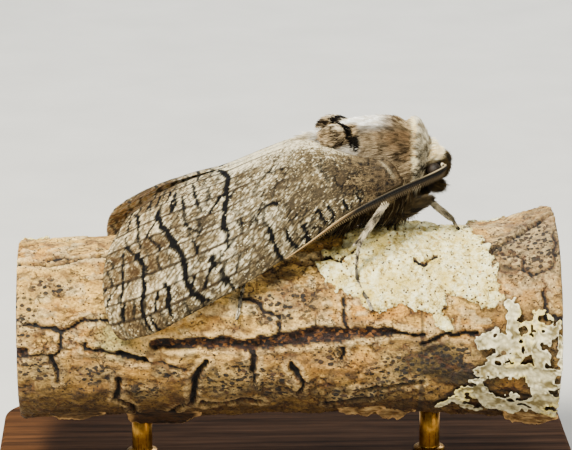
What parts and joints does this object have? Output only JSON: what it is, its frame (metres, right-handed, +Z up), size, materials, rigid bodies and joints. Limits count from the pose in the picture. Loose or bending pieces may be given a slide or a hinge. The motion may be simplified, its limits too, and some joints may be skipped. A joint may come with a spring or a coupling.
{
  "type": "moth",
  "caption": "Thick-bodied grey moth at rest, wings folded roof-like over its abdomen, gripping a short length of lichened branch held on a plain display stand.",
  "frame": {"origin": "centre of the underside of the stand's base", "axes": "+X the way the moth faces, along the branch; +Y the moth's left; +Z up"},
  "size_m": [0.068, 0.038, 0.0439],
  "materials": {
    "wing_scales": "overlapping scales, grey-brown with black cross-lines",
    "hindwing_scales": "dull brown-grey scales",
    "thorax_hair": "close hair, silver-grey on top, brown at the shoulders, dark below",
    "abdomen_hair": "grey hair in rings",
    "collar_hair": "grey peppered hair with a cream rear edge",
    "head_hair": "dark brown hair with a cream tuft between the feelers",
    "eye": "dark, faceted",
    "antenna": "ribbed, near black below and pale along the top",
    "leg": "close scales banded pale grey and black",
    "bark": "cracked tan bark with pale lichen",
    "stand_wood": "dark satin",
    "rod_brass": "satin"
  },
  "bodies": {
    "root": {"abdomen": "abdomen_hair", "antenna_left": "antenna", "antenna_right": "antenna", "collar": "collar_hair", "eye_left": "eye", "eye_right": "eye", "forewing_left": "wing_scales", "forewing_right": "wing_scales", "head": "head_hair", "hindwing_left": "hindwing_scales", "hindwing_right": "hindwing_scales", "leg_front_left": "leg", "leg_front_right": "leg", "leg_hind_left": "leg", "leg_hind_right": "leg", "leg_middle_left": "leg", "leg_middle_right": "leg", "palp_left": "head_hair", "palp_right": "head_hair", "perch_branch": "bark", "stand_base": "stand_wood", "stand_rod_front": "rod_brass", "stand_rod_rear": "rod_brass", "tegula_left": "thorax_hair", "tegula_right": "thorax_hair", "thorax": "thorax_hair"}
  },
  "joints": []
}
